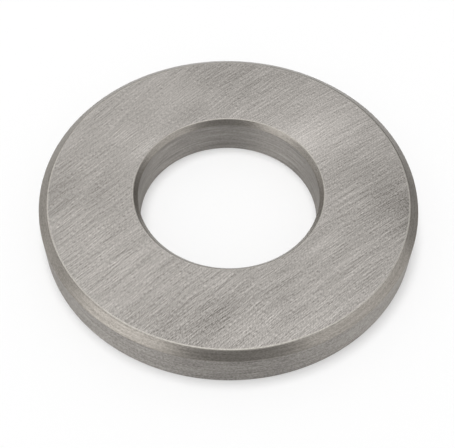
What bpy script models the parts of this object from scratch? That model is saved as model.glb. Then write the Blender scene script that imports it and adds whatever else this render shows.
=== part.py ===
"""Flat washer for a half-inch bolt: one steel ring, turned from bar, with belt-ground faces.

Units are metres and +Z is up. The washer lies on its underside, with the origin on the
bore's axis at the level of that face, so the chamfered side looks up.
"""

import math

import bmesh
import bpy

MM = 0.001
INCH = 25.4 * MM

# Driving dimensions
OUTSIDE_DIAMETER = 1.125 * INCH
BORE_DIAMETER = 0.540 * INCH
THICKNESS = 0.125 * INCH
RIM_CHAMFER_WIDTH = 0.65 * MM
RIM_CHAMFER_ANGLE = math.radians(35.0)
BORE_CHAMFER_WIDTH = 0.33 * MM
BORE_CHAMFER_ANGLE = math.radians(50.0)
UNDERSIDE_EDGE_BREAK = 0.05 * MM

# Facets round the ring: a multiple of four, so that it measures its full diameter along X and Y
SEGMENTS = 128
SHARPEST_SMOOTH_ANGLE = math.radians(20.0)

# Bare steel, a warm mid grey with a satin sheen
STEEL_COLOUR = (0.40, 0.38, 0.355, 1.0)
STEEL_METALLIC = 1.0
STEEL_ROUGHNESS = 0.4


def clear_scene():
    for old in list(bpy.data.objects):
        bpy.data.objects.remove(old)


def bare_steel():
    material = bpy.data.materials.new("bare_steel")
    material.use_nodes = True
    surface = material.node_tree.nodes["Principled BSDF"]
    surface.inputs["Base Color"].default_value = STEEL_COLOUR
    surface.inputs["Metallic"].default_value = STEEL_METALLIC
    surface.inputs["Roughness"].default_value = STEEL_ROUGHNESS
    material.diffuse_color = STEEL_COLOUR
    return material


def turned_section():
    """The ring's cross-section as (radius, height) corners, down the rim and up the bore.

    The upper edges are chamfered, each at its own angle to the face. The lower ones are only
    deburred.
    """
    rim = OUTSIDE_DIAMETER / 2
    bore = BORE_DIAMETER / 2
    rim_chamfer_depth = RIM_CHAMFER_WIDTH * math.tan(RIM_CHAMFER_ANGLE)
    bore_chamfer_depth = BORE_CHAMFER_WIDTH * math.tan(BORE_CHAMFER_ANGLE)
    return [
        (rim - RIM_CHAMFER_WIDTH, THICKNESS),
        (rim, THICKNESS - rim_chamfer_depth),
        (rim, UNDERSIDE_EDGE_BREAK),
        (rim - UNDERSIDE_EDGE_BREAK, 0.0),
        (bore + UNDERSIDE_EDGE_BREAK, 0.0),
        (bore, UNDERSIDE_EDGE_BREAK),
        (bore, THICKNESS - bore_chamfer_depth),
        (bore + BORE_CHAMFER_WIDTH, THICKNESS),
    ]


def turned_ring(name, section):
    """The section spun one full turn about the Z axis, as a closed mesh."""
    ring = bmesh.new()
    corners = [ring.verts.new((radius, 0.0, height)) for radius, height in section]
    sides = [ring.edges.new(ends) for ends in zip(corners, corners[1:] + corners[:1])]
    bmesh.ops.spin(
        ring,
        geom=corners + sides,
        cent=(0.0, 0.0, 0.0),
        axis=(0.0, 0.0, 1.0),
        angle=math.tau,
        steps=SEGMENTS,
        use_merge=True,
    )
    bmesh.ops.recalc_face_normals(ring, faces=ring.faces)
    mesh = bpy.data.meshes.new(name)
    ring.to_mesh(mesh)
    ring.free()
    mesh.shade_smooth()
    mesh.set_sharp_from_angle(angle=SHARPEST_SMOOTH_ANGLE)
    return mesh


def make_washer():
    mesh = turned_ring("washer", turned_section())
    mesh.materials.append(bare_steel())
    washer = bpy.data.objects.new("washer", mesh)
    bpy.context.collection.objects.link(washer)


clear_scene()
make_washer()
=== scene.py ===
"""A flat steel washer lying on a white table, seen from above its front edge."""

import math

import bmesh
import bpy
from mathutils import Matrix, Vector


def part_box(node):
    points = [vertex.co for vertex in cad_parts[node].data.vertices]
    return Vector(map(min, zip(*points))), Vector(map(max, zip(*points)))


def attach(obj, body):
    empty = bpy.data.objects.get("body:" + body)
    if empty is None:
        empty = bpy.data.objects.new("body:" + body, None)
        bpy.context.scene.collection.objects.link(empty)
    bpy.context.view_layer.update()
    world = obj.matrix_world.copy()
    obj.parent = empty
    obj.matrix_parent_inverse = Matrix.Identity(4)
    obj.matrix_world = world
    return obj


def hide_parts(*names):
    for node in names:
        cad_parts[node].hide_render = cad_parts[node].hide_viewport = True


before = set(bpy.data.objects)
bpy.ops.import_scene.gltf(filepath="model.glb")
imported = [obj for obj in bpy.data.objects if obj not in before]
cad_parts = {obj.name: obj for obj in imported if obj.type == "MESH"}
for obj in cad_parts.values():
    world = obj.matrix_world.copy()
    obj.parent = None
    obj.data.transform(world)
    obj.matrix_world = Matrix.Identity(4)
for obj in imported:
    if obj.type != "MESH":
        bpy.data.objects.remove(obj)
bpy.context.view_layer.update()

# Camera
# A close view from above the front of the washer, held a little off level. The focal length
# is for a full-frame sensor across the width of the picture.
MM = 0.001
camera_distance = 70.9 * MM
camera_elevation = math.radians(53.2)
camera_roll = math.radians(0.81)
aim = Vector((-0.06, -0.92, 0.0)) * MM
sensor_width = 36.0
focal_length = 71.7
nearest_seen = 5 * MM
farthest_seen = 5.0

camera = bpy.data.objects.new("camera", bpy.data.cameras.new("camera"))
bpy.context.collection.objects.link(camera)
camera.data.sensor_width = sensor_width
camera.data.lens = focal_length
camera.data.clip_start = nearest_seen
camera.data.clip_end = farthest_seen
stand = Vector((0.0, -math.cos(camera_elevation), math.sin(camera_elevation)))
camera.location = stand * camera_distance
level_view = (aim - camera.location).to_track_quat("-Z", "Y").to_matrix()
camera.rotation_euler = (level_view @ Matrix.Rotation(camera_roll, 3, "Z")).to_euler()
bpy.context.scene.camera = camera

# Washer
# One ring of bare steel, turned, bored and chamfered from bar, with both faces then ground flat
# on a belt. It is a single piece, and nothing is fixed to it. Sizes are in millimetres.
low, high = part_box("washer")
outer_radius = (high.x - low.x) / 2 / MM
thickness = (high.z - low.z) / MM
bore_radius = 6.858
rim_chamfer = 0.65
rim_chamfer_angle = math.radians(35)
bore_chamfer = 0.33
bore_chamfer_angle = math.radians(50)
rounding_steps = 4
turn_steps = 360
weld_gap = 0.0005

# The cross-section starts as a plain rectangle standing at +X.
wall = outer_radius - bore_radius
bpy.ops.object.select_all(action="DESELECT")
bpy.ops.mesh.primitive_plane_add(
    size=1, location=(bore_radius + wall / 2, 0, thickness / 2), rotation=(math.radians(90), 0, 0)
)
washer = bpy.context.object
washer.name = "washer_ring"
washer.scale = (wall, thickness, 1)
bpy.ops.object.transform_apply(location=True, rotation=True, scale=True)

# Its two upper corners are cut off at their angles to the face.
bpy.ops.object.mode_set(mode="EDIT")
for cut_radius, outward, angle in (
    (outer_radius - rim_chamfer, 1, rim_chamfer_angle),
    (bore_radius + bore_chamfer, -1, bore_chamfer_angle),
):
    bpy.ops.mesh.select_all(action="SELECT")
    bpy.ops.mesh.bisect(
        plane_co=(cut_radius, 0, thickness),
        plane_no=(outward * math.sin(angle), 0, math.cos(angle)),
        clear_outer=True,
    )

# Each corner is then rounded. The belt rolled the ground face's own edges over the most.
for radius, height, rounding in (
    (outer_radius - rim_chamfer, thickness, 0.11),
    (outer_radius, thickness - rim_chamfer * math.tan(rim_chamfer_angle), 0.03),
    (outer_radius, 0.0, 0.06),
    (bore_radius, 0.0, 0.06),
    (bore_radius, thickness - bore_chamfer * math.tan(bore_chamfer_angle), 0.03),
    (bore_radius + bore_chamfer, thickness, 0.08),
):
    bpy.ops.mesh.select_all(action="DESELECT")
    corner = Vector((radius, 0, height))
    section = bmesh.from_edit_mesh(washer.data)
    min(section.verts, key=lambda vertex: (vertex.co - corner).length).select_set(True)
    bpy.ops.mesh.bevel(offset=rounding, segments=rounding_steps, affect="VERTICES")

# Only the outline is kept, and it is spun one full turn about the bore's axis.
bpy.ops.mesh.select_all(action="SELECT")
bpy.ops.mesh.delete(type="ONLY_FACE")
bpy.ops.mesh.select_all(action="SELECT")
bpy.ops.mesh.spin(steps=turn_steps, angle=math.tau, center=(0, 0, 0), axis=(0, 0, 1))
bpy.ops.mesh.select_all(action="SELECT")
bpy.ops.mesh.remove_doubles(threshold=weld_gap)
bpy.ops.mesh.normals_make_consistent(inside=False)
bpy.ops.object.mode_set(mode="OBJECT")
bpy.ops.object.shade_smooth()
washer.modifiers.new("flat_sides", "WEIGHTED_NORMAL")
bpy.ops.object.modifier_apply(modifier="flat_sides")
washer.scale = (MM, MM, MM)
bpy.ops.object.transform_apply(location=False, rotation=False, scale=True)


def linear(hex_colour):
    """A colour written as sRGB hex, as linear red, green, blue and alpha."""
    steps = [int(hex_colour[i : i + 2], 16) / 255 for i in (1, 3, 5)]
    return [s / 12.92 if s <= 0.04045 else ((s + 0.055) / 1.055) ** 2.4 for s in steps] + [1.0]


def add_node(tree, kind, settings, inputs):
    """One node with its settings, and with a value or another node's output on each named input."""
    node = tree.nodes.new(kind)
    for name, value in settings.items():
        setattr(node, name, value)
    for name, value in inputs.items():
        if isinstance(value, bpy.types.NodeSocket):
            tree.links.new(value, node.inputs[name])
        else:
            node.inputs[name].default_value = value
    return node


# Belt-ground steel, on the two faces: long scratches all run one way, so the face shows fine light
# and dark streaks of uneven length, with a few strays across them, and its shine is drawn out across
# the scratches. Soft lighter and darker patches on it are painted reflection. The finest real
# scratches are thinner than drawn here.
scratch_slant = math.radians(39.2)
scratch_depth = 0.005 * MM
ground_shine_drawn = 0.6
ground_dark, ground_light = "#98948F", "#D3CEC9"
ground_dull, ground_bright = 0.46, 0.34

ground_steel = bpy.data.materials.new("belt_ground_steel")
ground_steel.use_nodes = True
tree = ground_steel.node_tree
surface = tree.nodes["Principled BSDF"]
surface.inputs["Metallic"].default_value = 1.0
surface.inputs["Anisotropic"].default_value = ground_shine_drawn
place = add_node(tree, "ShaderNodeTexCoord", {}, {})
belt = add_node(
    tree,
    "ShaderNodeMapping",
    {"vector_type": "TEXTURE"},
    {"Vector": place.outputs["Object"], "Rotation": (0, 0, scratch_slant), "Scale": (MM, MM, MM)},
)

# The scratches aren't quite parallel: they fan out and bow slightly, as from a washer that swung a
# little under the belt. X runs along them and Y across, both in millimetres.
fan_spread = -0.0067
fan_twist = -0.0005
bow = 0.0033
run = add_node(tree, "ShaderNodeSeparateXYZ", {}, {"Vector": belt.outputs["Vector"]})
spread = add_node(
    tree,
    "ShaderNodeMath",
    {"operation": "MULTIPLY_ADD"},
    {0: run.outputs["Y"], 1: fan_twist, 2: fan_spread},
)
fan = add_node(
    tree,
    "ShaderNodeMath",
    {"operation": "MULTIPLY_ADD"},
    {0: run.outputs["X"], 1: spread.outputs[0], 2: 1.0},
)
fanned = add_node(
    tree, "ShaderNodeMath", {"operation": "MULTIPLY"}, {0: run.outputs["Y"], 1: fan.outputs[0]}
)
run_squared = add_node(
    tree, "ShaderNodeMath", {"operation": "MULTIPLY"}, {0: run.outputs["X"], 1: run.outputs["X"]}
)
bowed = add_node(
    tree,
    "ShaderNodeMath",
    {"operation": "MULTIPLY_ADD"},
    {0: run_squared.outputs[0], 1: bow, 2: fanned.outputs[0]},
)
path = add_node(tree, "ShaderNodeCombineXYZ", {}, {"X": run.outputs["X"], "Y": bowed.outputs[0]})

# Streaks from grain to broad bands, as swing off the belt's path in degrees, length and width in
# millimetres, and share of the tone. The tone's middle is kept at a half.
streak_kinds = (
    (22, 0.2, 0.055, 1.15),
    (0, 5.0, 0.045, 0.74),
    (5, 4.0, 0.045, 0.56),
    (-5, 4.0, 0.045, 0.5),
    (11, 2.5, 0.045, 0.34),
    (-11, 2.5, 0.045, 0.28),
    (2, 9.0, 0.16, 0.03),
    (-1, 20.0, 0.7, 0.02),
)
tone = 0.5 - sum(kind[3] for kind in streak_kinds) / 2
for swing, length, width, share in streak_kinds:
    drawn_out = add_node(
        tree,
        "ShaderNodeMapping",
        {"vector_type": "TEXTURE"},
        {
            "Vector": path.outputs["Vector"],
            "Rotation": (0, 0, math.radians(swing)),
            "Scale": (length, width, 1.0),
        },
    )
    streaks = add_node(
        tree,
        "ShaderNodeTexNoise",
        {"noise_dimensions": "2D"},
        {"Vector": drawn_out.outputs["Vector"], "Scale": 1.0, "Detail": 0.0},
    )
    added = add_node(
        tree,
        "ShaderNodeMath",
        {"operation": "MULTIPLY_ADD"},
        {0: streaks.outputs["Fac"], 1: share, 2: tone},
    )
    tone = added.outputs[0]

# Deeper single scratches among them, some bright and some dark, from only the peaks of such noise.
deep_length, deep_width = 4.0, 0.06
peak_start, peak_full = 0.7, 0.8
for swing, share in ((8, 0.36), (-9, -0.18)):
    drawn_out = add_node(
        tree,
        "ShaderNodeMapping",
        {"vector_type": "TEXTURE"},
        {
            "Vector": path.outputs["Vector"],
            "Rotation": (0, 0, math.radians(swing)),
            "Scale": (deep_length, deep_width, 1.0),
        },
    )
    streaks = add_node(
        tree,
        "ShaderNodeTexNoise",
        {"noise_dimensions": "2D"},
        {"Vector": drawn_out.outputs["Vector"], "Scale": 1.0, "Detail": 0.0},
    )
    peaks = add_node(
        tree,
        "ShaderNodeMapRange",
        {},
        {"Value": streaks.outputs["Fac"], "From Min": peak_start, "From Max": peak_full},
    )
    added = add_node(
        tree,
        "ShaderNodeMath",
        {"operation": "MULTIPLY_ADD"},
        {0: peaks.outputs["Result"], 1: share, 2: tone},
    )
    tone = added.outputs[0]

# Painted reflection: soft lighter and darker patches stand for the bright and dark reflections of the
# room on the face. Each has its place, its reach along and across the scratches, all in millimetres,
# and its change of tone.
for x, y, along, across, change in (
    (5.5, 4.8, 10.0, 4.8, 0.66),
    (-1.5, -11.0, 15.0, 8.0, -0.25),
    (14.0, -1.5, 8.0, 10.0, -0.56),
    (1.0, 14.5, 11.0, 8.0, -0.25),
    (-14.0, -1.0, 10.0, 10.0, -0.27),
):
    reflection_patch = add_node(
        tree,
        "ShaderNodeMapping",
        {"vector_type": "TEXTURE"},
        {
            "Vector": place.outputs["Object"],
            "Location": (x * MM, y * MM, 0),
            "Rotation": (0, 0, scratch_slant),
            "Scale": (along * MM, across * MM, 1.0),
        },
    )
    soft = add_node(
        tree,
        "ShaderNodeTexGradient",
        {"gradient_type": "QUADRATIC_SPHERE"},
        {"Vector": reflection_patch.outputs["Vector"]},
    )
    added = add_node(
        tree,
        "ShaderNodeMath",
        {"operation": "MULTIPLY_ADD"},
        {0: soft.outputs["Fac"], 1: change, 2: tone},
    )
    tone = added.outputs[0]

# The tone may pass either colour a little, so that the streaks stay clear in the painted reflection
# patches too.
colour = add_node(
    tree,
    "ShaderNodeMix",
    {"data_type": "RGBA", "clamp_factor": False},
    {"Factor": tone, "A": linear(ground_dark), "B": linear(ground_light)},
)
gloss = add_node(
    tree, "ShaderNodeMapRange", {}, {"Value": tone, "To Min": ground_dull, "To Max": ground_bright}
)
relief = add_node(tree, "ShaderNodeBump", {}, {"Height": tone, "Distance": scratch_depth})
across_scratches = add_node(
    tree, "ShaderNodeCombineXYZ", {}, {"X": -math.sin(scratch_slant), "Y": math.cos(scratch_slant)}
)
tree.links.new(colour.outputs["Result"], surface.inputs["Base Color"])
tree.links.new(gloss.outputs["Result"], surface.inputs["Roughness"])
tree.links.new(relief.outputs["Normal"], surface.inputs["Normal"])
tree.links.new(across_scratches.outputs["Vector"], surface.inputs["Tangent"])
washer.data.materials.append(ground_steel)

# Turned steel, on the chamfers, the rim and the bore: the tool leaves fine rings round the axis, so
# the shine is drawn out up and down. The bore is the smoothest. The face's own two edges are rubbed
# bright, and their lighter colour is partly that rubbing and partly a painted highlight. Real rings
# are a few hundredths of a millimetre apart, and are drawn coarser to show.
grain_length = 0.15
ring_length, ring_share = 3.0, 0.8
gloss_range = 0.04
ring_depth = 0.003 * MM
quarter_turn = 0.25

# Each finish has its dark and light colour, roughness, how far its shine is drawn out, its tint at a
# grazing angle, the spacing of its rings in millimetres, and its grain's share of the tone.
for name, dark, light, roughness, drawn, grazing, pitch, grain in (
    ("turned_steel_chamfer", "#6E6963", "#AFAAA3", 0.3, 0.5, "#FFFFFF", 0.035, 1.2),
    ("turned_steel_rim", "#75716D", "#C4C0BB", 0.57, 0.9, "#C8C8C8", 0.14, 1.2),
    ("bored_steel_wall", "#75716D", "#C4C0BB", 0.57, 0.9, "#C8C8C8", 0.14, 0.5),
    # The rubbed edges' lighter colour is partly real rubbing and partly a painted highlight along the
    # edges.
    ("rubbed_steel_edge_painted_highlight", "#A6A29C", "#DAD6CE", 0.22, 0.2, "#FFFFFF", 0.04, 1.2),
):
    turned_steel = bpy.data.materials.new(name)
    turned_steel.use_nodes = True
    tree = turned_steel.node_tree
    surface = tree.nodes["Principled BSDF"]
    surface.inputs["Metallic"].default_value = 1.0
    surface.inputs["Anisotropic"].default_value = drawn
    surface.inputs["Anisotropic Rotation"].default_value = quarter_turn
    surface.inputs["Specular Tint"].default_value = linear(grazing)
    place = add_node(tree, "ShaderNodeTexCoord", {}, {})
    tone = 0.5 - (grain + ring_share) / 2
    for length, share in ((grain_length, grain), (ring_length, ring_share)):
        drawn_out = add_node(
            tree,
            "ShaderNodeMapping",
            {"vector_type": "TEXTURE"},
            {"Vector": place.outputs["Object"], "Scale": (length * MM, length * MM, pitch * MM)},
        )
        rings = add_node(
            tree,
            "ShaderNodeTexNoise",
            {},
            {"Vector": drawn_out.outputs["Vector"], "Scale": 1.0, "Detail": 2.0},
        )
        added = add_node(
            tree,
            "ShaderNodeMath",
            {"operation": "MULTIPLY_ADD"},
            {0: rings.outputs["Fac"], 1: share, 2: tone},
        )
        tone = added.outputs[0]
    colour = add_node(
        tree,
        "ShaderNodeMix",
        {"data_type": "RGBA"},
        {"Factor": tone, "A": linear(dark), "B": linear(light)},
    )
    gloss = add_node(
        tree,
        "ShaderNodeMapRange",
        {},
        {"Value": tone, "To Min": roughness + gloss_range, "To Max": roughness - gloss_range},
    )
    relief = add_node(tree, "ShaderNodeBump", {}, {"Height": tone, "Distance": ring_depth})
    around = add_node(tree, "ShaderNodeTangent", {"direction_type": "RADIAL", "axis": "Z"}, {})
    tree.links.new(colour.outputs["Result"], surface.inputs["Base Color"])
    tree.links.new(gloss.outputs["Result"], surface.inputs["Roughness"])
    tree.links.new(relief.outputs["Normal"], surface.inputs["Normal"])
    tree.links.new(around.outputs["Tangent"], surface.inputs["Tangent"])
    washer.data.materials.append(turned_steel)

# Each face of the mesh takes its finish from how level it lies, from 0 upright to 1 flat, and an
# upright one from which side of the ring it is on.
flat_level, rubbed_highlight_level, sloping_level = 0.999, 0.94, 0.3
middle_radius = (outer_radius + bore_radius) / 2 * MM
for face in washer.data.polygons:
    level = abs(face.normal.z)
    if level > flat_level:
        finish = "belt_ground_steel"
    # Nearly flat faces of the edge roundings: rubbed steel with a painted highlight.
    elif level > rubbed_highlight_level:
        finish = "rubbed_steel_edge_painted_highlight"
    elif level > sloping_level:
        finish = "turned_steel_chamfer"
    elif face.center.xy.length > middle_radius:
        finish = "turned_steel_rim"
    else:
        finish = "bored_steel_wall"
    face.material_index = washer.data.materials.find(finish)

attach(washer, "root")
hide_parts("washer")

# Table
# A sheet of white board, far wider than the picture, just clear of the washer's underside. A share of
# its own white lifts it for the camera and in the steel, and it keeps the washer's shadow.
table_reach = 2.0
table_gap = 0.01 * MM
own_white = 0.28
bpy.ops.object.select_all(action="DESELECT")
bpy.ops.mesh.primitive_plane_add(size=2 * table_reach, location=(0, 0, low.z - table_gap))
table = bpy.context.object
table.name = "table"
board = bpy.data.materials.new("white_board")
board.use_nodes = True
tree = board.node_tree
tree.nodes.clear()
ray = add_node(tree, "ShaderNodeLightPath", {}, {})
camera_or_steel = add_node(
    tree,
    "ShaderNodeMath",
    {"operation": "MAXIMUM"},
    {0: ray.outputs["Is Camera Ray"], 1: ray.outputs["Is Glossy Ray"]},
)
seen = add_node(
    tree,
    "ShaderNodeMath",
    {"operation": "MAXIMUM"},
    {0: camera_or_steel.outputs[0], 1: ray.outputs["Is Transmission Ray"]},
)
white_share = add_node(
    tree, "ShaderNodeMath", {"operation": "MULTIPLY"}, {0: seen.outputs[0], 1: own_white}
)
paper = add_node(tree, "ShaderNodeBsdfDiffuse", {}, {"Color": linear("#F4F4F4")})
white = add_node(tree, "ShaderNodeEmission", {}, {"Color": linear("#FFFFFF"), "Strength": 1.0})
mixed = add_node(
    tree,
    "ShaderNodeMixShader",
    {},
    {0: white_share.outputs[0], 1: paper.outputs[0], 2: white.outputs[0]},
)
add_node(tree, "ShaderNodeOutputMaterial", {}, {"Surface": mixed.outputs[0]})
table.data.materials.append(board)

# Light
# A pale room, brighter above and on the left, dark where the camera stands and low at the back right.
# The camera and the steel see it alike, and matt surfaces get an even fill. White cards at the sides
# and above light only the steel, and the overhead lamp only the table, for the washer's soft shadow.
room_level = 0.63
room_lean = Vector((-0.23, 0.0, 0.255))
fill_level = 0.42
room = bpy.data.worlds.new("room")
bpy.context.scene.world = room
room.use_nodes = True
tree = room.node_tree
tree.nodes.clear()
ray = add_node(tree, "ShaderNodeLightPath", {}, {})
way = add_node(tree, "ShaderNodeTexCoord", {}, {})
slope = add_node(
    tree,
    "ShaderNodeVectorMath",
    {"operation": "DOT_PRODUCT"},
    {0: way.outputs["Generated"], 1: room_lean},
)
pale = add_node(
    tree, "ShaderNodeMath", {"operation": "ADD"}, {0: slope.outputs["Value"], 1: room_level}
)
wall_level = pale.outputs[0]

# Each dark place has its direction, the angles from it in degrees where it starts and is darkest, and
# its level there.
for dark_way, reach, core, dark_level in (
    ((0.02, -0.73, 0.68), 36, 8, 0.36),
    ((0.52, 0.85, 0.0), 32, 6, 0.2),
):
    near = add_node(
        tree,
        "ShaderNodeVectorMath",
        {"operation": "DOT_PRODUCT"},
        {0: way.outputs["Generated"], 1: Vector(dark_way).normalized()},
    )
    darkened = add_node(
        tree,
        "ShaderNodeMapRange",
        {"interpolation_type": "SMOOTHSTEP"},
        {
            "Value": near.outputs["Value"],
            "From Min": math.cos(math.radians(reach)),
            "From Max": math.cos(math.radians(core)),
            "To Min": wall_level,
            "To Max": dark_level,
        },
    )
    wall_level = darkened.outputs["Result"]
camera_or_steel = add_node(
    tree,
    "ShaderNodeMath",
    {"operation": "MAXIMUM"},
    {0: ray.outputs["Is Camera Ray"], 1: ray.outputs["Is Glossy Ray"]},
)
seen = add_node(
    tree,
    "ShaderNodeMath",
    {"operation": "MAXIMUM"},
    {0: camera_or_steel.outputs[0], 1: ray.outputs["Is Transmission Ray"]},
)
strength = add_node(
    tree,
    "ShaderNodeMapRange",
    {},
    {"Value": seen.outputs[0], "To Min": fill_level, "To Max": wall_level},
)
glow = add_node(
    tree,
    "ShaderNodeBackground",
    {},
    {"Color": linear("#FFFFFF"), "Strength": strength.outputs["Result"]},
)
add_node(tree, "ShaderNodeOutputWorld", {}, {"Surface": glow.outputs[0]})

# Each card or lamp is a disc that faces the washer, with its azimuth and elevation in degrees, radius
# in metres and radiance, where 1 shows as white.
lamp_distance = 1.0
for name, azimuth, elevation, radius, radiance, on_table in (
    ("left_card", 212, 46, 0.4, 0.97, False),
    ("right_card", -13, 34, 0.58, 0.6, False),
    ("ceiling_card", 85, 76, 0.33, 0.28, False),
    ("overhead", 142, 85, 0.26, 10.9, True),
):
    lamp = bpy.data.objects.new(name, bpy.data.lights.new(name, "AREA"))
    bpy.context.collection.objects.link(lamp)
    lamp.data.shape = "DISK"
    lamp.data.size = 2 * radius
    lamp.data.energy = radiance * math.pi**2 * radius**2
    turned = Matrix.Rotation(math.radians(azimuth), 3, "Z")
    raised = Matrix.Rotation(-math.radians(elevation), 3, "Y")
    lamp.location = turned @ raised @ Vector((lamp_distance, 0, 0))
    lamp.rotation_euler = (-lamp.location).to_track_quat("-Z", "Y").to_euler()
    lamp.visible_diffuse = on_table
    lamp.visible_glossy = not on_table

bpy.context.scene.view_settings.view_transform = "Standard"
